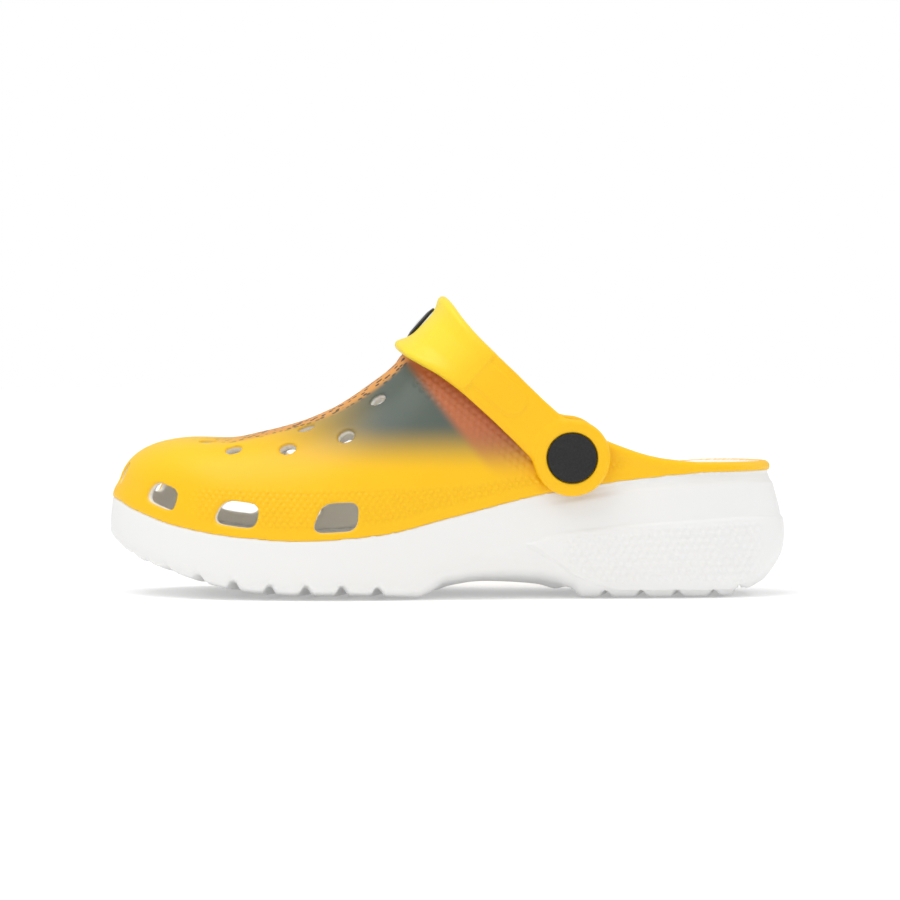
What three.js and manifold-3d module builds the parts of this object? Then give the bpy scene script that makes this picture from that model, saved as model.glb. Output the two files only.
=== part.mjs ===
// A rubber garden clog for the left foot: a printed foam upper bonded to a white sole, a loose footbed,
// and a heel strap that turns on a two-part snap rivet at each side. The strap is folded forward.
// Millimetres, +Z up. The toe points to -X and the outer (lateral) side of the foot is at -Y.
// The origin is on the ground under the middle of the clog.

import * as THREE from "three";
import { mergeVertices } from "three/addons/utils/BufferGeometryUtils.js";
import Module from "manifold-3d";

const wasm = await Module();
wasm.setup();

// ---- Driving sizes -------------------------------------------------------------------------------

const LENGTH = 280;
const WIDTH = 110;
const GAP = 0.3; // between two pieces that are bonded, seated or snapped together

const UPPER_WALL = 4;
const SOLE_WALL = 5;
const FOOTBED_THICKNESS = 3.5;
const FOOTBED_CLEARANCE = 0.6; // around the footbed, inside the sole

const PIVOT_SHARE = 0.367; // where the strap turns, as a share of the half length behind the middle
const PIVOT_ABOVE_SEAM = 12.5;
const EAR_BOSS_RADIUS = 9;
const EAR_BOSS_PROUD = 0.2; // past the widest wall under the lobe

const STRAP_THICKNESS = 4;
const STRAP_CROWN_HALF_WIDTH = 14.5;
const EDGE_ROUND = 1.2;
const LOBE_RADIUS = 15.7;
const LOBE_THICKNESS = 4.5;
const STRAP_REST_CLEARANCE = 0.7; // from the crown's front edge down to the instep

const RIVET_RADIUS = 10.5;
const RIVET_HEAD_THICKNESS = 2.4;
const RIVET_RECESS_DEPTH = 1.9;
const RIVET_RECESS_CLEARANCE = 0.6;
const STEM_RADIUS = 4;
const STEM_BORE_RADIUS = 2.6;
const STEM_CLEARANCE = 0.5; // around the stem, in the lobe and in the ear
const PIN_CLEARANCE = 0.35;
const BACK_RADIUS = 8.5;
const BACK_THICKNESS = 2;

const BADGE_RADIUS = 8.5;
const BADGE_THICKNESS = 1;
const BADGE_SEAT_DEPTH = 2;
const BADGE_SEAT_CLEARANCE = 0.4;

const VENT_CORNER_RADIUS = 3;
const BREATHING_HOLE_RADIUS = 3.8;
const TREAD_PITCH = 15;
const FOREFOOT_TREAD = -0.197; // the last groove behind the ball of the foot, as a share of the half length
const HEEL_TREAD = 0.46; // the first groove of the heel
const TREAD_GROOVE_WIDTH = 5;
const TREAD_GROOVE_DEPTH = 3.2;

// How finely the solids are faceted.
const TOE_RAYS = 10;
const SIDE_STATIONS = 13;
const HEEL_RAYS = 7;
const DOME_ROWS = 7;
const STRAP_STATIONS = 22;
const ROUND_SIDES = 28;

// ---- Plan outline and profiles -------------------------------------------------------------------

// The sole's widest outline, as shares of the half length and the half width: the toe tip first, then the
// lateral side to the heel, then back along the medial side.
const OUTLINE = [
  [-1, 0.14], [-0.955, -0.25], [-0.84, -0.58], [-0.68, -0.85], [-0.46, -0.98], [-0.32, -1],
  [-0.14, -0.945], [0.07, -0.84], [0.286, -0.76], [0.5, -0.72], [0.7, -0.685], [0.87, -0.56], [0.97, -0.29],
  [1, 0], [0.97, 0.29], [0.87, 0.56], [0.7, 0.685], [0.5, 0.715], [0.286, 0.74], [0.07, 0.78],
  [-0.14, 0.87], [-0.36, 0.965], [-0.54, 1], [-0.72, 0.93], [-0.86, 0.75], [-0.96, 0.46],
];

// Heights along the clog: [share of the half length, millimetres].
const SEAM = profile([
  [-1, 40], [-0.93, 36], [-0.8, 30], [-0.6, 25.6], [-0.42, 24.2], [-0.2, 26.4], [0.02, 33.7],
  [0.3, 43.3], [0.6, 49.6], [0.8, 51.8], [1, 52],
]);
const RIDGE = profile([
  [-1, 66.6], [-0.78, 66], [-0.64, 64.8], [-0.55, 67], [-0.43, 71.5], [-0.33, 77.5], [-0.25, 84.5],
  [-0.17, 93], [-0.108, 101], [0, 112], [0.15, 122], [0.4, 128], [1, 128],
]);
const COLLAR = profile([
  [-0.108, 101.5], [-0.06, 99.6], [0, 96], [0.14, 87.5], [0.25, 80], [0.357, 72.3], [0.41, 68.6],
  [0.46, 64.8], [0.52, 61.4], [0.59, 58.2], [0.65, 56.6], [0.75, 55.3], [0.87, 55.2], [1.1, 55.4],
]);
// How much lower the collar is on the medial side.
const MEDIAL_DIP = profile([[-0.108, 0], [0.1, 3.4], [0.6, 3.4], [0.78, 0.4], [0.9, 0], [1, 0]]);
const BOTTOM = profile([
  [-1, 21], [-0.94, 17], [-0.89, 13.2], [-0.82, 9.2], [-0.76, 6.6], [-0.63, 2.4], [-0.52, 0.5], [-0.44, 0],
  [-0.085, 0], [-0.045, 2.2], [0, 5.8], [0.12, 7], [0.25, 6.8], [0.33, 5.4], [0.367, 3.7], [0.4, 0],
  [0.8, 0], [0.87, 2], [0.93, 5.5], [1, 11],
]);
const FLOOR = profile([
  [-1, 30], [-0.85, 24.5], [-0.7, 19.5], [-0.5, 15.8], [-0.3, 15.2], [0, 19], [0.3, 22], [0.6, 22], [1, 23],
]);
// How far the sole's wall leans in from its widest outline up to the seam.
const LEAN = profile([[-1, 1.2], [0, 2], [0.7, 2.5], [0.9, 4.5], [1, 6]]);
// How far the sole tucks under, from its widest outline in to the tread.
const TUCK = profile([[-1, 9], [-0.1, 9], [0.12, 22], [0.27, 18], [0.38, 10], [0.5, 8], [1, 9]]);
// How far the ridge stands to the medial side of the middle.
const RIDGE_SHIFT = profile([[-1, 0], [-0.43, 2], [-0.1, 3], [0.3, 3], [0.68, 0], [1, 0]]);
// The powers of the upper's section: a high side power is a square shoulder, and 2 is an ellipse.
const SIDE_POWER = profile([[-1, 5], [-0.8, 4.6], [-0.6, 3.4], [-0.3, 2.4], [-0.1, 2.05], [1, 2.05]]);
const TOP_POWER = profile([[-1, 2.2], [-0.4, 2], [1, 2]]);

const HALF = LENGTH / 2;
const TOE_ANCHOR = -0.43; // the toe's rays start here, and the heel's at HEEL_ANCHOR
const HEEL_ANCHOR = 0.68;
const THROAT = -0.108; // where the collar crosses the ridge
const SECTION = 0.62; // share of the wall's height where the sole is widest, measured down from the seam

// A smooth monotone curve through [share, value] points, as a function of x in millimetres.
function profile(points) {
  const slope = points.map((p, i) => {
    if (i === 0 || i === points.length - 1) return 0;
    const before = (p[1] - points[i - 1][1]) / (p[0] - points[i - 1][0]);
    const after = (points[i + 1][1] - p[1]) / (points[i + 1][0] - p[0]);
    return before * after <= 0 ? 0 : (2 * before * after) / (before + after);
  });
  return (x) => {
    const share = THREE.MathUtils.clamp(x / (LENGTH / 2), points[0][0], points.at(-1)[0]);
    const i = Math.max(0, points.findIndex((p) => p[0] >= share) - 1);
    const [[x0, y0], [x1, y1]] = [points[i], points[i + 1]];
    const h = x1 - x0;
    const t = (share - x0) / h;
    return (
      y0 * (1 + 2 * t) * (1 - t) ** 2 + slope[i] * h * t * (1 - t) ** 2 +
      y1 * t * t * (3 - 2 * t) + slope[i + 1] * h * t * t * (t - 1)
    );
  };
}

// The outline as a fine closed line, fitted exactly to LENGTH and WIDTH.
function outlineLine() {
  const curve = new THREE.CatmullRomCurve3(
    OUTLINE.map(([x, y]) => new THREE.Vector3(x, y, 0)), true, "centripetal",
  );
  const line = curve.getSpacedPoints(720);
  const box = new THREE.Box3().setFromPoints(line);
  const size = box.getSize(new THREE.Vector3());
  const centre = box.getCenter(new THREE.Vector3());
  return line.map((p) => new THREE.Vector2(
    ((p.x - centre.x) / size.x) * LENGTH, ((p.y - centre.y) / size.y) * WIDTH,
  ));
}
const LINE = outlineLine();

// Where a ray from a point inside the outline leaves it.
function leaves(from, direction) {
  for (let i = 0; i + 1 < LINE.length; i++) {
    const a = LINE[i].clone().sub(from);
    const b = LINE[i + 1].clone().sub(from);
    const [ca, cb] = [direction.cross(a), direction.cross(b)];
    if (ca * cb > 0 || ca === cb) continue;
    const p = a.lerp(b, ca / (ca - cb));
    if (p.dot(direction) > 0) return p.add(from);
  }
  throw new Error("the ray misses the outline");
}

// The line under the ridge, where the stations start. It runs between the two sides, and the instep stands
// a little to the medial side of the middle.
function spine(x) {
  const from = new THREE.Vector2(x, 0);
  const sides = [-1, 1].map((s) => leaves(from, new THREE.Vector2(0, s)).y);
  return new THREE.Vector2(x, (sides[0] + sides[1]) / 2 + RIDGE_SHIFT(x));
}

// The stations round the clog. Each has its anchor on the spine and its point on the outline. They start at
// the toe tip and mirror each other, so station i and station N - i share one anchor.
function makeStations() {
  const toe = spine(TOE_ANCHOR * HALF);
  const heel = spine(HEEL_ANCHOR * HALF);
  const half = [];
  for (let i = 0; i < TOE_RAYS; i++) half.push([toe, Math.PI + (i / TOE_RAYS) * (Math.PI / 2)]);
  for (let i = 0; i <= SIDE_STATIONS; i++) {
    half.push([spine(THREE.MathUtils.lerp(toe.x, heel.x, i / SIDE_STATIONS)), 1.5 * Math.PI]);
  }
  for (let i = 1; i <= HEEL_RAYS; i++) half.push([heel, 1.5 * Math.PI + (i / HEEL_RAYS) * (Math.PI / 2)]);
  const mirrored = half.slice(1, -1).reverse().map(([anchor, angle]) => [anchor, -angle]);
  return [...half, ...mirrored].map(([anchor, angle]) => ({
    anchor, edge: leaves(anchor, new THREE.Vector2(Math.cos(angle), Math.sin(angle))),
  }));
}
const STATIONS = makeStations();

// The outline moved in along each station's ray by a distance, and lifted to a height that depends on the
// place that was reached and on the station's point on the outline.
function ring(inset, height, stations = STATIONS) {
  return stations.map(({ anchor, edge }) => {
    const way = anchor.clone().sub(edge);
    const p = edge.clone().addScaledVector(way.clone().normalize(), Math.min(inset(edge.x), way.length()));
    return new THREE.Vector3(p.x, p.y, height(p.x, edge.x));
  });
}

// ---- Solids --------------------------------------------------------------------------------------

// A closed surface through rings of equal length. An end ring that has an area is closed by strips between
// its mirrored points.
function skin(rings) {
  const n = rings[0].length;
  const corners = [];
  const face = (...p) => {
    for (let k = 2; k < p.length; k++) {
      const [a, b, c] = [p[0], p[k - 1], p[k]];
      if (a.distanceTo(b) > 1e-4 && b.distanceTo(c) > 1e-4 && a.distanceTo(c) > 1e-4) corners.push(a, b, c);
    }
  };
  for (let r = 0; r + 1 < rings.length; r++) {
    for (let i = 0; i < n; i++) {
      const j = (i + 1) % n;
      face(rings[r][i], rings[r][j], rings[r + 1][j], rings[r + 1][i]);
    }
  }
  for (let i = 0; i < n / 2; i++) {
    const [a, b] = [rings[0], rings.at(-1)];
    const across = (k) => (n - k) % n;
    face(a[i], a[across(i)], a[across(i + 1)], a[i + 1]);
    face(b[i], b[i + 1], b[across(i + 1)], b[across(i)]);
  }
  return new THREE.BufferGeometry().setFromPoints(corners);
}

function solid(geometry) {
  const bare = (geometry.index ? geometry.toNonIndexed() : geometry).clone();
  for (const name of Object.keys(bare.attributes)) if (name !== "position") bare.deleteAttribute(name);
  const merged = mergeVertices(bare, 1e-3);
  const mesh = (triVerts) => new wasm.Manifold(new wasm.Mesh({
    numProp: 3, vertProperties: merged.attributes.position.array, triVerts,
  }));
  const triVerts = new Uint32Array(merged.index.array);
  const made = mesh(triVerts);
  return made.volume() > 0 ? made : mesh(triVerts.slice().reverse());
}

function geometryOf(manifold) {
  const mesh = manifold.getMesh();
  const geometry = new THREE.BufferGeometry();
  geometry.setAttribute("position", new THREE.BufferAttribute(new Float32Array(mesh.vertProperties), 3));
  geometry.setIndex(new THREE.BufferAttribute(new Uint32Array(mesh.triVerts), 1));
  return geometry;
}

// A round piece about the Y axis through a point. The profile is [radius, y] pairs and closes on itself.
function turned(profilePoints, x, z, side = 1) {
  const points = profilePoints.map(([r, y]) => new THREE.Vector2(r, y));
  const geometry = new THREE.LatheGeometry([...points, points[0]], ROUND_SIDES);
  if (side < 0) geometry.rotateX(Math.PI);
  return geometry.translate(x, 0, z);
}

function cylinderAlongY(radius, y0, y1, x, z) {
  return new THREE.CylinderGeometry(radius, radius, Math.abs(y1 - y0), ROUND_SIDES)
    .translate(x, (y0 + y1) / 2, z);
}

// ---- Upper ---------------------------------------------------------------------------------------

// The rings of the upper's outer or inner skin, from the seam up to the ridge. A point's share of the way
// out to the wall and its share of the height lie on a squared-off ellipse.
function dome(wall) {
  const rings = [];
  for (let row = 0; row <= DOME_ROWS; row++) {
    const turn = (row / DOME_ROWS) * (Math.PI / 2);
    rings.push(STATIONS.map(({ anchor, edge }) => {
      const reach = edge.distanceTo(anchor) - LEAN(edge.x) - wall;
      const out = row === DOME_ROWS ? 0 : Math.cos(turn) ** (2 / SIDE_POWER(edge.x));
      const up = Math.sin(turn) ** (2 / TOP_POWER(edge.x));
      const p = anchor.clone().addScaledVector(edge.clone().sub(anchor).normalize(), reach * out);
      const seam = SEAM(edge.x);
      return new THREE.Vector3(p.x, p.y, seam + (RIDGE(p.x) - wall - seam) * up + GAP / 2);
    }));
  }
  return rings;
}

// The height of the upper's outer skin over a point beside the spine.
function domeHeight(x, y) {
  const middle = spine(x);
  const edge = leaves(middle, new THREE.Vector2(0, Math.sign(y - middle.y) || 1));
  const reach = Math.abs(edge.y - middle.y) - LEAN(x);
  const out = Math.min(1, Math.abs(y - middle.y) / reach);
  const up = (1 - out ** SIDE_POWER(x)) ** (1 / TOP_POWER(x));
  return SEAM(x) + (RIDGE(x) - SEAM(x)) * up;
}

// Everything above and behind the collar line, as a block from the middle out to one side.
function collarCut(side) {
  const top = RIDGE(HALF) + 20;
  const collar = (x) => COLLAR(x) - (side > 0 ? MEDIAL_DIP(x) : 0);
  const shape = new THREE.Shape();
  shape.moveTo(THROAT * HALF, top);
  for (let share = THROAT; share < 1.1; share += 0.055) shape.lineTo(share * HALF, collar(share * HALF));
  shape.lineTo(1.1 * HALF, collar(HALF));
  shape.lineTo(1.1 * HALF, top);
  const block = new THREE.ExtrudeGeometry(shape, { depth: WIDTH, bevelEnabled: false, curveSegments: 1 });
  return solid(block.rotateX(Math.PI / 2).translate(0, side > 0 ? WIDTH : 0, 0));
}

// A drainage vent: a slanted four-sided hole with round corners through the wall. It slopes at the toe end.
function ventShape(scale, side) {
  const corners = [[-9, -5.4], [-4.8, 5.2], [8.6, 4.6], [7.8, -5.8]]
    .map(([x, y]) => new THREE.Vector2(-side * x * scale, y * scale));
  const shape = new THREE.Shape();
  corners.forEach((corner, i) => {
    const before = corners[(i + 3) % 4].clone().sub(corner).normalize();
    const after = corners[(i + 1) % 4].clone().sub(corner).normalize();
    const start = corner.clone().addScaledVector(before, VENT_CORNER_RADIUS * scale);
    const end = corner.clone().addScaledVector(after, VENT_CORNER_RADIUS * scale);
    if (i === 0) shape.moveTo(start.x, start.y);
    else shape.lineTo(start.x, start.y);
    shape.quadraticCurveTo(corner.x, corner.y, end.x, end.y);
  });
  return shape.closePath();
}

// Each vent: its side, the share of the half length where it is, its height over the seam, and its size.
const VENTS = [
  { side: -1, share: -0.985, lift: 9.5, scale: 0.7 },
  { side: -1, share: -0.828, lift: 10, scale: 0.9 },
  { side: -1, share: -0.605, lift: 9.3, scale: 1 },
  { side: -1, share: -0.317, lift: 9, scale: 1.06 },
  { side: 1, share: -0.92, lift: 11, scale: 0.8 },
  { side: 1, share: -0.645, lift: 10.5, scale: 1 },
  { side: 1, share: -0.44, lift: 9.8, scale: 1 },
];

function ventCut({ side, share, lift, scale }) {
  const x = share * HALF;
  const from = spine(Math.max(x, TOE_ANCHOR * HALF));
  const onEdge = LINE.filter((p) => Math.sign(p.y - from.y) === side)
    .reduce((best, p) => (Math.abs(p.x - x) < Math.abs(best.x - x) ? p : best));
  const way = onEdge.clone().sub(from).normalize();
  const depth = 40;
  const finish = { depth, bevelEnabled: false, curveSegments: 3 };
  const cut = new THREE.ExtrudeGeometry(ventShape(scale, side), finish);
  const up = new THREE.Vector3(0, 0, 1);
  const out = new THREE.Vector3(way.x, way.y, 0);
  const frame = new THREE.Matrix4().makeBasis(up.clone().cross(out), up, out);
  const start = onEdge.clone().addScaledVector(way, -depth / 2);
  return solid(cut.applyMatrix4(frame).translate(start.x, start.y, SEAM(onEdge.x) + lift));
}

// Breathing holes: [share of the half length, distance from the spine]. Those off the spine are on both
// sides.
const BREATHING_HOLES = [
  [-0.62, 33], [-0.46, 38], [-0.29, 38.5], [-0.7, 21], [-0.41, 25], [-0.2, 27.5], [-0.54, 0], [-0.33, 0],
  [-0.18, 0],
];

function breathingCut(x, y) {
  const step = 1;
  const normal = new THREE.Vector3(
    domeHeight(x - step, y) - domeHeight(x + step, y),
    domeHeight(x, y - step) - domeHeight(x, y + step),
    2 * step,
  ).normalize();
  const length = 4 * UPPER_WALL;
  const cut = new THREE.CylinderGeometry(BREATHING_HOLE_RADIUS, BREATHING_HOLE_RADIUS, length, 14);
  cut.applyQuaternion(new THREE.Quaternion().setFromUnitVectors(new THREE.Vector3(0, 1, 0), normal));
  return solid(cut.translate(x, y, domeHeight(x, y)));
}

const PIVOT_X = PIVOT_SHARE * HALF;
const PIVOT_Z = SEAM(PIVOT_X) + PIVOT_ABOVE_SEAM;

// How far out the upper's wall is on each side beside the pivot, at a height.
function earReach(z) {
  const rise = (z - SEAM(PIVOT_X)) / (RIDGE(PIVOT_X) - SEAM(PIVOT_X));
  const out = (1 - rise ** TOP_POWER(PIVOT_X)) ** (1 / SIDE_POWER(PIVOT_X));
  const middle = spine(PIVOT_X);
  return [-1, 1].map((side) => {
    const halfWidth = Math.abs(leaves(middle, new THREE.Vector2(0, side)).y - middle.y) - LEAN(PIVOT_X);
    return Math.abs(middle.y + side * halfWidth * out);
  });
}

// The ear's round boss carries the lobe clear of the wall all round, and the wall is widest in front of it.
const LOBE_FRONT = PIVOT_X - LOBE_RADIUS;
const WALL_UNDER_LOBE = Math.max(...[-1, 1].map(
  (side) => Math.abs(leaves(new THREE.Vector2(LOBE_FRONT, 0), new THREE.Vector2(0, side)).y),
)) - LEAN(LOBE_FRONT);
const EAR_FACE = WALL_UNDER_LOBE + EAR_BOSS_PROUD;
const EAR_BACK = Math.min(...earReach(PIVOT_Z + BACK_RADIUS)) - UPPER_WALL - GAP;

function makeUpper() {
  let upper = solid(skin([...dome(0).reverse(), ...dome(UPPER_WALL)]));
  for (const vent of VENTS) upper = upper.subtract(ventCut(vent));
  for (const side of [-1, 1]) {
    upper = upper.subtract(collarCut(side));
    const boss = cylinderAlongY(EAR_BOSS_RADIUS, side * EAR_BACK, side * EAR_FACE, PIVOT_X, PIVOT_Z);
    upper = upper.add(solid(boss));
    const hole = cylinderAlongY(STEM_RADIUS + STEM_CLEARANCE, side * (EAR_BACK - 5), side * (EAR_FACE + 5),
      PIVOT_X, PIVOT_Z);
    upper = upper.subtract(solid(hole));
  }
  for (const [share, off] of BREATHING_HOLES) {
    const x = share * HALF;
    const sides = off ? [-1, 1] : [1];
    for (const side of sides) upper = upper.subtract(breathingCut(x, spine(x).y + side * off));
  }
  return geometryOf(upper);
}

// ---- Sole and footbed ----------------------------------------------------------------------------

function makeSole() {
  const seam = (x, edgeX) => SEAM(edgeX) - GAP / 2;
  const between = (share) => (x, edgeX) => THREE.MathUtils.lerp(BOTTOM(x), seam(x, edgeX), share);
  const widest = 1 - SECTION;
  const rings = [
    ring((x) => TUCK(x), (x) => BOTTOM(x)),
    ring((x) => 0.5 * TUCK(x), (x) => BOTTOM(x) + 0.9),
    ring((x) => 0.2 * TUCK(x), between(0.14)),
    ring(() => 0.4, between(widest - 0.12)),
    ring(() => 0, between(widest)),
    ring((x) => 0.3 * LEAN(x), between(0.7)),
    ring(LEAN, seam),
    ring((x) => LEAN(x) + SOLE_WALL, seam),
    ring((x) => LEAN(x) + SOLE_WALL + 1, (x) => FLOOR(x)),
  ];
  let sole = solid(skin(rings));
  const grooves = [];
  for (let x = FOREFOOT_TREAD * HALF; x > -0.96 * HALF; x -= TREAD_PITCH) grooves.push(treadGroove(x));
  for (let x = HEEL_TREAD * HALF; x < 0.92 * HALF; x += TREAD_PITCH) grooves.push(treadGroove(x));
  sole = sole.subtract(wasm.Manifold.union(grooves));
  return geometryOf(sole);
}

function treadGroove(x) {
  const half = TREAD_GROOVE_WIDTH / 2;
  const deep = TREAD_GROOVE_DEPTH;
  const corners = [[-half - 1, -1], [half + 1, -1], [0.5, deep], [-0.5, deep]];
  const shape = new THREE.Shape(corners.map(([a, b]) => new THREE.Vector2(a, b)));
  const cut = new THREE.ExtrudeGeometry(shape, { depth: 1.2 * WIDTH, bevelEnabled: false });
  return solid(cut.rotateX(Math.PI / 2).translate(x, 0.6 * WIDTH, BOTTOM(x)));
}

function makeFootbed() {
  const inset = (x) => LEAN(x) + SOLE_WALL + 1 + FOOTBED_CLEARANCE;
  const rings = [
    ring((x) => inset(x) + 0.5, (x) => FLOOR(x) + GAP),
    ring(inset, (x) => FLOOR(x) + GAP + 1),
    ring(inset, (x) => FLOOR(x) + GAP + FOOTBED_THICKNESS),
  ];
  return skin(rings);
}

// ---- Strap ---------------------------------------------------------------------------------------

// The strap is drawn lying along +X from the pivot, its width along Z, and is then turned to rest with the
// crown's front edge on the instep, close in front of the throat.
const LOBE_INNER = EAR_FACE + GAP;
const CONTACT_X = (THROAT - 0.02) * HALF;
const CONTACT = new THREE.Vector2(CONTACT_X - PIVOT_X, RIDGE(CONTACT_X) + STRAP_REST_CLEARANCE - PIVOT_Z);
const REACH = Math.sqrt(CONTACT.lengthSq() - STRAP_CROWN_HALF_WIDTH ** 2); // pivot to the crown's inner face
const REST_ANGLE = CONTACT.angle() - Math.atan2(STRAP_CROWN_HALF_WIDTH, REACH);

const ARCH_START = 0.35;
const ARCH_POWER = 2.8;

// Half widths towards the front and towards the rear edge: [share of the reach, millimetres].
const FRONT_EDGE = [[0, 12.4], [0.3, 11.6], [0.6, 10], [0.84, 12.4], [1, STRAP_CROWN_HALF_WIDTH]];
const REAR_EDGE = [[0, 11], [0.3, 11.4], [0.7, 13], [1, STRAP_CROWN_HALF_WIDTH]];

function widthAt(edge, share) {
  const i = Math.max(1, edge.findIndex((p) => p[0] >= share));
  const [[a, b], [c, d]] = [edge[i - 1], edge[i]];
  return THREE.MathUtils.lerp(b, d, THREE.MathUtils.smoothstep(share, a, c));
}

// One station of the band at a turn from -90 to 90 degrees: its inner and outer point in the X-Y plane. The
// arch is a squared-off ellipse that starts at ARCH_START along the arms.
function bandStation(turn) {
  const start = ARCH_START * REACH;
  const [c, s] = [Math.cos(turn), Math.sin(turn)];
  const arch = (half, reach) => new THREE.Vector2(
    start + (reach - start) * Math.abs(c) ** (2 / ARCH_POWER),
    half * Math.sign(s) * Math.abs(s) ** (2 / ARCH_POWER),
  );
  return [arch(LOBE_INNER, REACH), arch(LOBE_INNER + STRAP_THICKNESS, REACH + STRAP_THICKNESS)];
}

// The band's cross-section at a place given by its inner and outer point.
function bandSection([inner, outer]) {
  const share = THREE.MathUtils.clamp(inner.x / REACH, 0, 1);
  const [front, rear] = [widthAt(FRONT_EDGE, share), -widthAt(REAR_EDGE, share)];
  const middle = inner.clone().lerp(outer, 0.5);
  const at = (p, z) => new THREE.Vector3(p.x, p.y, z);
  return [
    at(inner, rear + EDGE_ROUND), at(middle, rear), at(outer, rear + EDGE_ROUND),
    at(outer, front - EDGE_ROUND), at(middle, front), at(inner, front - EDGE_ROUND),
  ];
}

function makeBand() {
  const arm = (side) => [LOBE_INNER, LOBE_INNER + STRAP_THICKNESS].map((y) => new THREE.Vector2(0, side * y));
  const places = [arm(-1)];
  for (let i = 0; i <= STRAP_STATIONS; i++) {
    places.push(bandStation(((i / STRAP_STATIONS) * 2 - 1) * (Math.PI / 2)));
  }
  places.push(arm(1));
  return solid(loft(places.map(bandSection)));
}

// A closed loft through sections of equal length, with a fan at each end.
function loft(rings) {
  const corners = [];
  const n = rings[0].length;
  for (let r = 0; r + 1 < rings.length; r++) {
    for (let i = 0; i < n; i++) {
      const j = (i + 1) % n;
      corners.push(rings[r][i], rings[r][j], rings[r + 1][j], rings[r][i], rings[r + 1][j], rings[r + 1][i]);
    }
  }
  for (let i = 1; i + 1 < n; i++) {
    corners.push(rings[0][0], rings[0][i + 1], rings[0][i]);
    corners.push(rings.at(-1)[0], rings.at(-1)[i], rings.at(-1)[i + 1]);
  }
  return new THREE.BufferGeometry().setFromPoints(corners);
}

function makeStrap() {
  let strap = makeBand();
  for (const side of [-1, 1]) {
    const outer = LOBE_INNER + LOBE_THICKNESS;
    strap = strap.add(solid(cylinderAlongY(LOBE_RADIUS, side * LOBE_INNER, side * outer, 0, 0)));
    const recess = cylinderAlongY(RIVET_RADIUS + RIVET_RECESS_CLEARANCE, side * (outer - RIVET_RECESS_DEPTH),
      side * (outer + 5), 0, 0);
    const hole = cylinderAlongY(STEM_RADIUS + STEM_CLEARANCE, side * (LOBE_INNER - 5),
      side * (outer + 5), 0, 0);
    strap = strap.subtract(solid(recess)).subtract(solid(hole));
  }
  const seatRadius = BADGE_RADIUS + BADGE_SEAT_CLEARANCE;
  const seat = new THREE.CylinderGeometry(seatRadius, seatRadius, 10, ROUND_SIDES).rotateZ(Math.PI / 2);
  seat.translate(REACH + STRAP_THICKNESS - BADGE_SEAT_DEPTH + 5, 0, 0);
  return geometryOf(strap.subtract(solid(seat)));
}

function makeBadge() {
  const bottom = REACH + STRAP_THICKNESS - BADGE_SEAT_DEPTH + GAP;
  const disc = new THREE.CylinderGeometry(BADGE_RADIUS, BADGE_RADIUS, BADGE_THICKNESS, ROUND_SIDES);
  return disc.rotateZ(Math.PI / 2).translate(bottom + BADGE_THICKNESS / 2, 0, 0);
}

// ---- Rivets --------------------------------------------------------------------------------------

// The cap: a domed head in the lobe's recess, with a hollow stem that runs in through the lobe and the ear.
function makeRivetCap(side) {
  const seat = LOBE_INNER + LOBE_THICKNESS - RIVET_RECESS_DEPTH + GAP;
  const stemEnd = EAR_BACK + GAP;
  const top = seat + RIVET_HEAD_THICKNESS;
  const cap = turned([
    [STEM_BORE_RADIUS, stemEnd], [STEM_RADIUS, stemEnd], [STEM_RADIUS, seat], [RIVET_RADIUS, seat],
    [RIVET_RADIUS, top - 0.9], [0.93 * RIVET_RADIUS, top - 0.3], [0.6 * RIVET_RADIUS, top - 0.1], [0, top],
    [0, seat - 0.5], [STEM_BORE_RADIUS, seat - 0.5],
  ], PIVOT_X, PIVOT_Z, side);
  return cap;
}

// The back: a flat disc against the inside of the ear, with a pin that snaps into the cap's stem.
function makeRivetBack(side) {
  const face = EAR_BACK - GAP;
  const seat = LOBE_INNER + LOBE_THICKNESS - RIVET_RECESS_DEPTH + GAP;
  const pin = STEM_BORE_RADIUS - PIN_CLEARANCE;
  const end = seat - 0.5 - GAP;
  return turned([
    [0, face - BACK_THICKNESS], [BACK_RADIUS - 0.8, face - BACK_THICKNESS],
    [BACK_RADIUS, face - BACK_THICKNESS + 0.8],
    [BACK_RADIUS, face], [pin, face], [pin, end - 1], [0.6 * pin, end], [0, end],
  ], PIVOT_X, PIVOT_Z, side);
}

// ---- Assembly ------------------------------------------------------------------------------------

const foam = (color) => new THREE.MeshStandardMaterial({ color, roughness: 0.55, metalness: 0 });
const yellow = foam(0xffcc33);
const white = foam(0xf4f4f2);
const black = new THREE.MeshStandardMaterial({ color: 0x303032, roughness: 0.6, metalness: 0 });

function named(name, geometry, material) {
  const mesh = new THREE.Mesh(geometry, material);
  mesh.name = name;
  return mesh;
}

const clog = new THREE.Group();
clog.add(named("sole", makeSole(), white));
clog.add(named("footbed", makeFootbed(), white));
clog.add(named("upper", makeUpper(), yellow));
for (const [name, side] of [["lateral", -1], ["medial", 1]]) {
  clog.add(named("rivet_cap_" + name, makeRivetCap(side), black));
  clog.add(named("rivet_back_" + name, makeRivetBack(side), black));
}

const swing = new THREE.Group();
swing.position.set(PIVOT_X, 0, PIVOT_Z);
swing.rotation.y = -REST_ANGLE;
swing.add(named("heel_strap", makeStrap(), yellow));
swing.add(named("strap_badge", makeBadge(), black));
clog.add(swing);

export default clog;
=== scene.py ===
"""Looks of the garden clog. Shapes are worked out in millimetres in the frame of the CAD part and
turned into metres when a mesh is made. Foam pieces are level sets of distance-like fields."""

import math

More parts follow.
